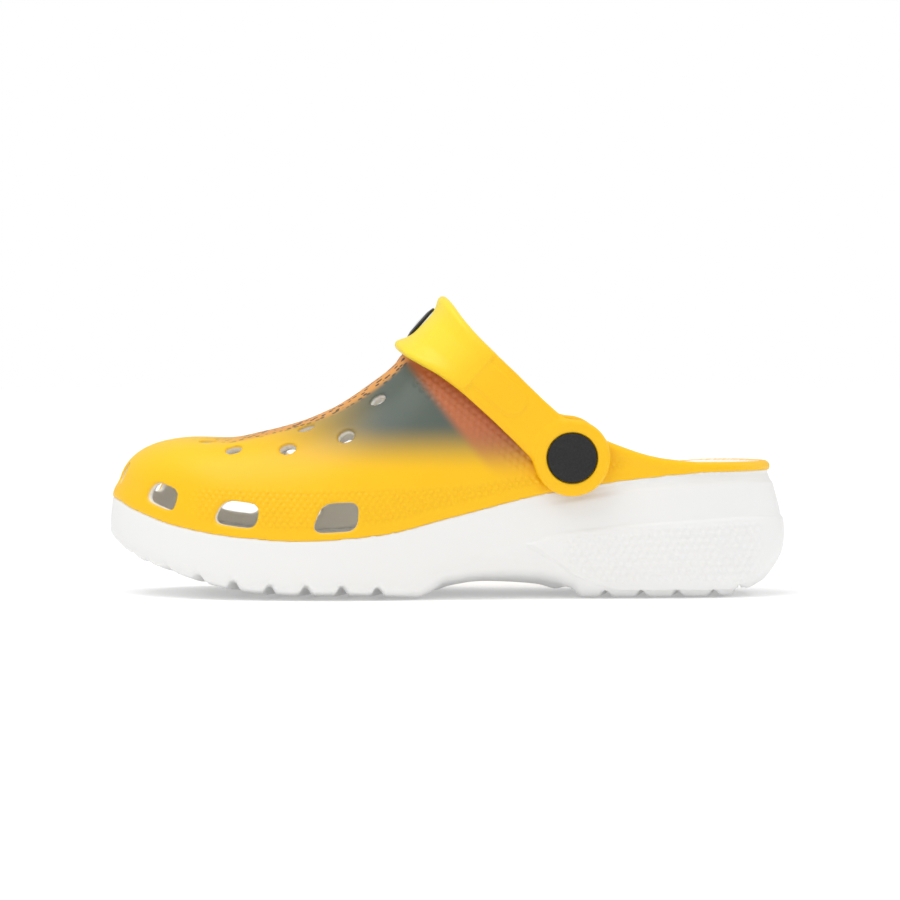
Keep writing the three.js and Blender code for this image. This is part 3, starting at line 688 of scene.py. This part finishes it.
# The lining and the walls of the openings are white, and the lip is yellow down to its inner edge.
is_white = np.maximum(step(depth, 0.7, 1.9) * (1 - step(collar, -4.2, -3.4)), step(depth, 3.2, 3.6))
haze = step(x, -84, -22) * step(z, 51, 72) * (1 - step(x, 30, 46))
rust_line = ((x + 18.5) * 33.6 + (z - 99) * 25.8) / math.hypot(33.6, 25.8)
rust = step(rust_line, -2, 3) * step(z, 46, 72) * (1 - step(x, 34, 44))
ridge_gap = dome_height(x, spine(x)) - z
wide = step(x, -70, -16)
spots = (1 - step(ridge_gap, 0.9 + 1.6 * wide, 2.2 + 3.6 * wide)) * step(x, -112, -70) * (x < 0)
# Lighter yellow on the top of the toe: partly the lemon print, partly a painted highlight.
toe = step(-x, 60, 110) * step(z, 45, 62)
upper = make_mesh("clog_upper", points, faces, {
    "is_white": is_white, "haze": haze, "rust": rust, "spots": spots, "toe": toe,
})

s = Shader("yellow_printed_foam")
# The toe's tint is partly print and partly a painted highlight on its top.
yellow = s.mix(s.attribute("toe"), SIDE_YELLOW, TOE_PRINT_AND_HIGHLIGHT)
tinted = s.mix(s.attribute("haze"), yellow, HAZE)
tinted = s.mix(s.attribute("rust"), tinted, RUST)
dots = s.node("ShaderNodeTexVoronoi")
s.link(s.coord, dots.inputs["Vector"])
dots.inputs["Scale"].default_value = 330
dot = s.ramp(dots.outputs["Distance"], 0.42, 0.3)
patterned = s.mix(dot, SPOT_GROUND, SPOT)
tinted = s.mix(s.attribute("spots"), tinted, patterned)
color = s.mix(s.attribute("is_white"), tinted, LINING)
s.bump(s.noise(1400, 2), 0.12, 0.0003)
upper_material = s.finish(color, 0.42, 0.12, YELLOW_SCATTER)
dress(upper, upper_material, "shoe", "yellow_foam", "upper")

# ---- Sole ----------------------------------------------------------------------------------------

TREAD_PITCH = 14.6
FOREFOOT_GROOVES = [-27.6 - TREAD_PITCH * k for k in range(6)]
TOE_GROOVES = [-114.8, -125.2, -132.9]  # closer together where the sole curls up
HEEL_GROOVES = [64.7 + TREAD_PITCH * k for k in range(4)] + [118.0]
GROOVE_DEPTH, GROOVE_HALF_WIDTH, GROOVE_SWAY = 3.2, 2.9, 2.5
PANEL_TOP = profile([
    (0.21, 22.2), (0.34, 27), (0.44, 28.6), (0.59, 30.7), (0.74, 32), (0.88, 33), (1, 32.5),
])
PANEL_LOW = profile([(0.21, 22.2), (0.335, 13.6), (0.367, 9.9), (0.44, 5.7), (0.52, 3), (1, 3)])
PANEL_HEIGHT, BUMP_HEIGHT, LEDGE_DEPTH = 0.8, 0.5, 0.7
WIDEST = 0.38  # the share of the wall's height where the sole is widest
EDGE_RISE = 3.6  # how far the forefoot's edges rise off the ground


def build_sole(h):
    """The sole's points and faces, and a function that moves points onto it."""
    g = Grid((-142.5, -57.5, -1.5), (142.5, 57.5, 55), h)
    p = g.plan
    z = g.z.astype(np.float32)
    seam, bottom, tuck, lean = (g.flat(v) for v in (SEAM(p.ex), BOTTOM(p.x), TUCK(p.ex), LEAN(p.ex)))
    reach, away = g.flat(p.r), g.flat(p.d)
    s = np.clip((z - bottom) / (seam - bottom), -0.2, 1)
    low = np.clip(WIDEST - s, 0, 1) / WIDEST
    high = np.clip(s - WIDEST, 0, 1) / (1 - WIDEST)
    inset = tuck * (0.22 * low**2 + 0.78 * low**5) + lean * high**1.5
    side = true_distance((away - reach + inset).astype(np.float32), h)
    crown = EDGE_RISE * np.clip(p.d / p.r, 0, 1.1) ** 4 * step(-p.x, -5, 40) * step(p.x, -134, -112)
    groove = np.zeros_like(p.x)
    for x0 in FOREFOOT_GROOVES + TOE_GROOVES + HEEL_GROOVES:
        off = np.abs(p.x - x0 - 2.4 - GROOVE_SWAY * np.cos(p.y / 14.0))
        groove = np.maximum(groove, GROOVE_DEPTH * (1 - step(off, 0.4, GROOVE_HALF_WIDTH)))
    groove *= 0.45 + 0.55 * step(p.x, -115, -88)
    # Under the waist a shank runs lower than the lateral edge's arch.
    shank = step(p.y, -38, 8) * (1 - step(p.y, 12, 36))
    shank = shank * step(p.x, -16, 0) * (1 - step(p.x, 44, 55))
    floor = g.flat(BOTTOM(p.x) * (1 - 0.85 * shank) + crown + groove)
    f = smax(side, (floor - z).astype(np.float32), 1.4)
    f = smax(f, (z - seam + SEAM_FIT).astype(np.float32), 0.3)
    depth = np.clip((z - g.flat(FLOOR(p.ex))) / (seam - g.flat(FLOOR(p.ex))), 0, 1)
    hollow = away - (reach - lean - SOLE_WALL - (1 - depth))
    hollow = smax(hollow.astype(np.float32), (g.flat(FLOOR(p.x)) - z).astype(np.float32), 3.0)
    f = smax(f, -hollow, 1.0).astype(np.float32)

    def onto(places):
        return settled(places, f, g)

    return *surface(f, g), onto


def sole_zones(points):
    """Outside points of the sole's wall, how far they are under the seam, and inside the heel's panel."""
    x, y, z = points.T
    plan = Plan(x, y)
    outside = plan.d > plan.r - LEAN(plan.ex) - 3.6
    edge_gap = np.minimum(PANEL_TOP(x) - z, z - PANEL_LOW(x))
    return outside, SEAM(plan.ex) - z, np.where(x > 29, edge_gap, -9)


SOLE_CELL, SOLE_CELL_QUICK = 1.2, 1.6

points, faces, onto = build_sole(SOLE_CELL)
outside, under, edge_gap = sole_zones(points)
on_panel = (edge_gap > -1.5) & (points[:, 2] > 2)
on_ledge = (under < 5.5) & (points[:, 0] > 30)
detailed = outside & (on_panel | on_ledge)
points, faces = refine(points, faces, detailed[faces].any(axis=1))
points = onto(points)
outside, under, edge_gap = sole_zones(points)
normals = normals_of(points, faces)
upright = 1 - step(np.abs(normals[:, 2]), 0.7, 0.95)
x, y, z = points.T
panel = step(edge_gap, -0.2, 1.0) * step(x, 29.5, 33)
# The rows of bumps run on round the heel, along an arc about the heel's anchor.
heel_angle = np.arctan2(np.abs(y), np.maximum(x - HEEL_ANCHOR, 1e-6))
around = np.where(x > HEEL_ANCHOR, HEEL_ANCHOR + 60 - 38 * heel_angle, x)
bumps = bump_lattice(around, z - 0.03 * x, 3.4, 2.9, 1.6) * step(edge_gap, 2.0, 3.2)
bumps *= step(x, 44, 52) * step(z, 5, 8) * (1 - step(x, 124, 132))
ledge = (step(under, 0.2, 1.4) - step(under, 3.6, 6.0)) * step(x, 30, 60)
lift = PANEL_HEIGHT * panel + BUMP_HEIGHT * bumps - LEDGE_DEPTH * ledge
points = points + normals * (lift * outside * upright)[:, None]
sole = make_mesh("clog_sole", points, faces)
s = Shader("white_foam")
s.bump(s.noise(1500, 2), 0.1, 0.0003)
white_material = s.finish(SOLE_WHITE, 0.48, 0.15, WHITE_SCATTER)
dress(sole, white_material, "shoe", "white_foam", "sole")

# ---- Footbed -------------------------------------------------------------------------------------

FOOTBED_CELL, FOOTBED_CELL_QUICK = 0.8, 1.1
NUB_HEIGHT = 0.9


def build_footbed(h):
    g = Grid((-136, -50, 13), (132, 50, 37), h)
    p = g.plan
    z = g.z.astype(np.float32)
    inset = LEAN(p.ex) + SOLE_WALL + 1.6
    side = g.flat(p.d - p.r + inset)
    nub = bump_lattice(p.x, p.y, 9.0, 7.8, 2.0) * (1 - step(p.d - p.r + inset, -9, -6))
    top = g.flat(FLOOR(p.x) + GAP + FOOTBED_THICKNESS - NUB_HEIGHT + NUB_HEIGHT * nub)
    under = g.flat(FLOOR(p.x) + GAP)
    f = smax(side.astype(np.float32), (z - top).astype(np.float32), 1.6)
    f = smax(f, (under - z).astype(np.float32), 0.8)
    return surface(f.astype(np.float32), g)


points, faces = build_footbed(FOOTBED_CELL)
footbed = make_mesh("clog_footbed", points, faces)
s = Shader("footbed_foam")
s.bump(s.noise(1200, 3), 0.2, 0.0004)
footbed_material = s.finish(FOOTBED_WHITE, 0.7)
dress(footbed, footbed_material, "shoe", "footbed_foam", "footbed")

# ---- Strap ---------------------------------------------------------------------------------------

STRAP_THICKNESS = 4.0
CROWN_HALF_WIDTH = 14.5
BADGE_RADIUS, BADGE_THICKNESS = 8.5, 1.0
LOBE_INNER = EAR_FACE + GAP
RIVET_RADIUS, RECESS_DEPTH, RECESS_CLEARANCE = 10.2, 1.9, 0.15
CONTACT_X = (-0.108 - 0.02) * HALF
CONTACT = (CONTACT_X - PIVOT_X, float(RIDGE(CONTACT_X)) + 0.7 - PIVOT_Z)
REACH = math.sqrt(CONTACT[0] ** 2 + CONTACT[1] ** 2 - CROWN_HALF_WIDTH**2)
REST_ANGLE = math.atan2(CONTACT[1], CONTACT[0]) - math.atan2(CROWN_HALF_WIDTH, REACH)
ARCH_START, ARCH_POWER = 0.35, 2.8
STRAP_CELL, STRAP_CELL_QUICK = 0.6, 0.9

# Half widths over the distance from the pivot, in millimetres.
FRONT_EDGE = profile([
    (0, 12.2), (13, 11.6), (26, 10.8), (50, 10.2), (62, 11), (72, 12.9), (80, 14.4), (90, 14.8),
], 1)
REAR_EDGE = profile([(0, 10.4), (20, 10.5), (40, 11.4), (60, 12.3), (70, 13.4), (80, 15.4), (90, 16)], 1)
CROWN_TILT = 0.055
DISH_DEPTH, LIP_HEIGHT = 1.6, 1.2
STEP_X, STEP_DEPTH = 51.0, 1.0
PAD_END, PAD_MIDDLE, PAD_RADIUS, PAD_HEIGHT = 33.5, -1.4, 6.0, 0.5
BADGE_SEAT = REACH + STRAP_THICKNESS - 2.0


def build_strap(h):
    """The strap lying along +X from its pivot, with its width along Z."""
    g = Grid((-17.5, -48, -18), (87, 48, 18), h)
    x, y, z = (a.astype(np.float32) for a in (g.x, g.y, g.z))
    front, rear = FRONT_EDGE(x), REAR_EDGE(x)
    middle, half = (front - rear) / 2, (front + rear) / 2
    across = np.abs(z - middle) / half
    start = ARCH_START * REACH
    along = x - CROWN_TILT * z * step(x, 30, 78)

    def arch(half_width, reach):
        a = np.clip((along - start) / (reach - start), 0, None)
        f = (a**ARCH_POWER + (np.abs(y) / half_width) ** ARCH_POWER) ** (1 / ARCH_POWER) - 1
        return true_distance(f.astype(np.float32), h)

    inner = arch(LOBE_INNER, REACH)
    outer = arch(LOBE_INNER + STRAP_THICKNESS, REACH + STRAP_THICKNESS)
    # The crown is dished between its lips. Each arm is let in a little between its borders, up to a crisp
    # step, and has a raised pad with a round end.
    dish = DISH_DEPTH * (1 - step(across, 0.3, 0.85)) * step(x, 54, 74)
    dish -= LIP_HEIGHT * step(across, 0.55, 0.9) * step(x, 60, 78)
    pad = np.hypot(np.clip(PAD_END - x, 0, None), z - PAD_MIDDLE) - PAD_RADIUS
    pad = PAD_HEIGHT * (1 - step(pad, -0.35, 0.35))
    sunk = STEP_DEPTH * step(x, 14, 34) * (1 - step(across, 0.82, 1.0)) - pad
    sunk = sunk * (1 - step(x, STEP_X - 0.35, STEP_X + 0.35))
    f = smax(outer + (dish + sunk).astype(np.float32), -inner, 1.6)
    f = smax(f, (np.abs(z - middle) - half).astype(np.float32), 3.8)
    f = smax(f, -x - 2.0, 1.0)
    radial = np.hypot(x, z)
    slab = np.abs(np.abs(y) - LOBE_INNER - LOBE_THICKNESS / 2) - LOBE_THICKNESS / 2
    lobe = smax(radial - LOBE_RADIUS, slab, 2.6)
    f = smin(f, lobe, 2.0)
    floor = LOBE_INNER + LOBE_THICKNESS - RECESS_DEPTH
    recess = np.maximum(radial - RIVET_RADIUS - RECESS_CLEARANCE, floor - np.abs(y))
    f = smax(f, -recess, 0.8)
    f = smax(f, STEM_RADIUS + STEM_CLEARANCE - radial, 0.5)
    badge_hole = np.maximum(np.hypot(y, z) - BADGE_RADIUS - 0.4, BADGE_SEAT - x)
    f = smax(f, -badge_hole, 0.6)
    # The lobes lie flat against the ears' bosses.
    f = smax(f, np.where(x > start, -99, LOBE_INNER - np.abs(y)), 0.6)
    return surface(f.astype(np.float32), g)


def to_rest(points):
    """From the strap's own axes to the clog's, at rest."""
    c, s = math.cos(REST_ANGLE), math.sin(REST_ANGLE)
    out = points.copy()
    out[:, 0] = PIVOT_X + points[:, 0] * c - points[:, 2] * s
    out[:, 2] = PIVOT_Z + points[:, 0] * s + points[:, 2] * c
    return out


points, faces = build_strap(STRAP_CELL)
# The crown attribute marks the strap's top, which gets a painted highlight.
strap = make_mesh("clog_heel_strap", to_rest(points), faces, {"crown": step(points[:, 0], 40, 84)})
s = Shader("yellow_foam")
s.bump(s.noise(1400, 2), 0.12, 0.0003)
# The lighter crown yellow is a painted highlight on the strap's top.
color = s.mix(s.attribute("crown"), STRAP_YELLOW, CROWN_PAINTED_HIGHLIGHT)
strap_material = s.finish(color, 0.42, 0.12, YELLOW_SCATTER)
dress(strap, strap_material, "strap", "yellow_foam", "heel_strap")

# ---- Turned pieces -------------------------------------------------------------------------------

def rounded(line, radius, steps=5):
    """A closed line of (r, y) points with its corners off the axis rounded."""
    out = []
    n = len(line)
    for i in range(n):
        p = np.array(line[i], float)
        a, b = np.array(line[i - 1], float), np.array(line[(i + 1) % n], float)
        if p[0] < 1e-6:
            out.append(tuple(p))
            continue
        la, lb = np.linalg.norm(a - p), np.linalg.norm(b - p)
        r = min(radius, 0.45 * la, 0.45 * lb)
        start, end = p + (a - p) / la * r, p + (b - p) / lb * r
        for k in range(steps + 1):
            t = k / steps
            out.append(tuple((1 - t) ** 2 * start + 2 * t * (1 - t) * p + t * t * end))
    return out


def turned(line, sides=96):
    """Points and faces of a closed line turned about the Y axis."""
    points, rings = [], []
    for r, y in line:
        if r < 1e-6:
            rings.append([len(points)] * sides)
            points.append((0, y, 0))
        else:
            rings.append(list(range(len(points), len(points) + sides)))
            turns = [2 * math.pi * k / sides for k in range(sides)]
            points += [(r * math.cos(t), y, r * math.sin(t)) for t in turns]
    faces = []
    n = len(rings)
    for i in range(n):
        a, b = rings[i], rings[(i + 1) % n]
        for k in range(sides):
            m = (k + 1) % sides
            ring = []
            for v in (a[k], b[k], b[m], a[m]):
                if v not in ring:
                    ring.append(v)
            if len(ring) > 2:
                faces.append(tuple(ring))
    return np.array(points, float), faces


CAP_RADIUS, CAP_HEIGHT = RIVET_RADIUS - 0.1, 2.4
PIN_CLEARANCE = 0.35
RIVET_SEAT = LOBE_INNER + LOBE_THICKNESS - RECESS_DEPTH + GAP
s = Shader("black_plastic")
grain = s.noise(1300, 4, 0.7)
s.bump(grain, 0.7, 0.0006)
black_material = s.finish(s.mix(grain, RIVET_DARK, RIVET_LIGHT), 0.55)

for name, side in (("lateral", -1), ("medial", 1)):
    top = RIVET_SEAT + CAP_HEIGHT
    cap_line = rounded([
        (STEM_BORE, EAR_BACK + GAP), (STEM_RADIUS, EAR_BACK + GAP), (STEM_RADIUS, RIVET_SEAT),
        (CAP_RADIUS, RIVET_SEAT), (CAP_RADIUS, top - 0.75),
        (0.94 * CAP_RADIUS, top - 0.3), (0.6 * CAP_RADIUS, top - 0.08), (0, top),
        (0, RIVET_SEAT - 0.5), (STEM_BORE, RIVET_SEAT - 0.5),
    ], 0.5)
    face = EAR_BACK - GAP
    pin = STEM_BORE - PIN_CLEARANCE
    end = RIVET_SEAT - 0.8
    back_line = rounded([
        (0, face - BACK_THICKNESS), (BACK_RADIUS - 0.8, face - BACK_THICKNESS),
        (BACK_RADIUS, face - BACK_THICKNESS + 0.8), (BACK_RADIUS, face), (pin, face), (pin, end - 1),
        (0.6 * pin, end), (0, end),
    ], 0.4)
    for kind, line in (("cap", cap_line), ("back", back_line)):
        points, faces = turned(line)
        if side < 0:
            points = points * (1, -1, 1)
            faces = [face[::-1] for face in faces]
        points = points + (PIVOT_X, 0, PIVOT_Z)
        piece = make_mesh(f"rivet_{kind}_{name}_fine", points, faces)
        dress(piece, black_material, "shoe", "rivet_plastic", f"rivet_{kind}_{name}")

BADGE_LOW = BADGE_SEAT + GAP
BADGE_DOME = 1.1
RING_RADIUS, DOT_RADIUS, INK_EDGE = 5.4, 2.4, 0.12


def badge_line():
    """The badge's closed section: a flat back, a short rim, and a domed face with points at its inked
    edges."""
    rim = BADGE_LOW + BADGE_THICKNESS
    face = [(r, rim + BADGE_DOME * (1 - (r / BADGE_RADIUS) ** 2))
            for e in (RING_RADIUS, DOT_RADIUS) for r in (e + INK_EDGE, e)]
    line = [(0, BADGE_LOW), (BADGE_RADIUS, BADGE_LOW), (BADGE_RADIUS, rim), *face, (0, rim + BADGE_DOME)]
    return rounded(line, 0.35)


points, faces = turned(badge_line())
r = np.hypot(points[:, 0], points[:, 2])
ink = (r > RING_RADIUS + INK_EDGE / 2) | (r < DOT_RADIUS + INK_EDGE / 2)
# The badge's axis lies along the strap, so X and Y change places, and the faces turn over with them.
swapped = np.stack([points[:, 1], points[:, 0], points[:, 2]], axis=1)
faces = [face[::-1] for face in faces]
badge = make_mesh("strap_badge_fine", to_rest(swapped), faces, {"ink": ink})
s = Shader("badge_plastic")
badge_material = s.finish(s.mix(s.attribute("ink"), BADGE_WHITE, BADGE_INK), 0.35)
s.bump(s.noise(1800, 2), 0.08, 0.0002)
dress(badge, badge_material, "strap", "badge_plastic", "strap_badge")

# ---- Stage ---------------------------------------------------------------------------------------

STAGE_REACH, STAGE_DROP = 6000.0, 0.2
STAGE_WHITE, STAGE_GLOW, SKY_STRENGTH = 0.84, 0.2, 0.61

corners = [(a * STAGE_REACH, b * STAGE_REACH, -STAGE_DROP) for a, b in ((-1, -1), (1, -1), (1, 1), (-1, 1))]
floor = make_mesh("stage_floor", corners, [(0, 1, 2, 3)])
s = Shader("stage_white")
s.bsdf.inputs["Emission Color"].default_value = (1, 1, 1, 1)
s.bsdf.inputs["Emission Strength"].default_value = STAGE_GLOW
floor.data.materials.append(s.finish((STAGE_WHITE, STAGE_WHITE, STAGE_WHITE, 1.0), 0.9))

world = bpy.data.worlds.new("studio")
bpy.context.scene.world = world
world.use_nodes = True
background = world.node_tree.nodes["Background"]
background.inputs["Color"].default_value = (1, 1, 1, 1)
# The background is white to the camera, and lights the clog less than that.
light_path = world.node_tree.nodes.new("ShaderNodeLightPath")
shown = world.node_tree.nodes.new("ShaderNodeMapRange")
shown.inputs["To Min"].default_value = SKY_STRENGTH
world.node_tree.links.new(light_path.outputs["Is Camera Ray"], shown.inputs["Value"])
world.node_tree.links.new(shown.outputs["Result"], background.inputs["Strength"])


def soft_light(name, place, spread, strength):
    """A far, wide light that falls evenly from one direction."""
    light = bpy.data.lights.new(name, "SUN")
    light.angle = math.radians(spread)
    light.energy = strength
    obj = bpy.data.objects.new(name, light)
    obj.rotation_euler = Vector(place).to_track_quat("Z", "Y").to_euler()
    bpy.context.scene.collection.objects.link(obj)


soft_light("key_top", (-0.3, -0.2, 1.0), 45, 1.3)
soft_light("front", (-0.15, -1.0, 0.35), 90, 0.37)
soft_light("back", (0.9, 0.15, 0.5), 60, 0.5)

ELEVATION = math.radians(1.6)
DISTANCE = 1.8
SCALE = 2403.6  # image points to a metre, of 900 across the image
camera = bpy.data.cameras.new("camera")
camera.lens = SCALE * DISTANCE / 900 * camera.sensor_width
camera.clip_end = 50
camera_object = bpy.data.objects.new("camera", camera)
TARGET = Vector((0.0018, 0, 0.0595))
camera_object.location = TARGET + Vector((0, -math.cos(ELEVATION), math.sin(ELEVATION))) * DISTANCE
camera_object.rotation_euler = (TARGET - camera_object.location).to_track_quat("-Z", "Y").to_euler()
bpy.context.scene.collection.objects.link(camera_object)
bpy.context.scene.camera = camera_object
bpy.context.scene.view_settings.view_transform = "Standard"
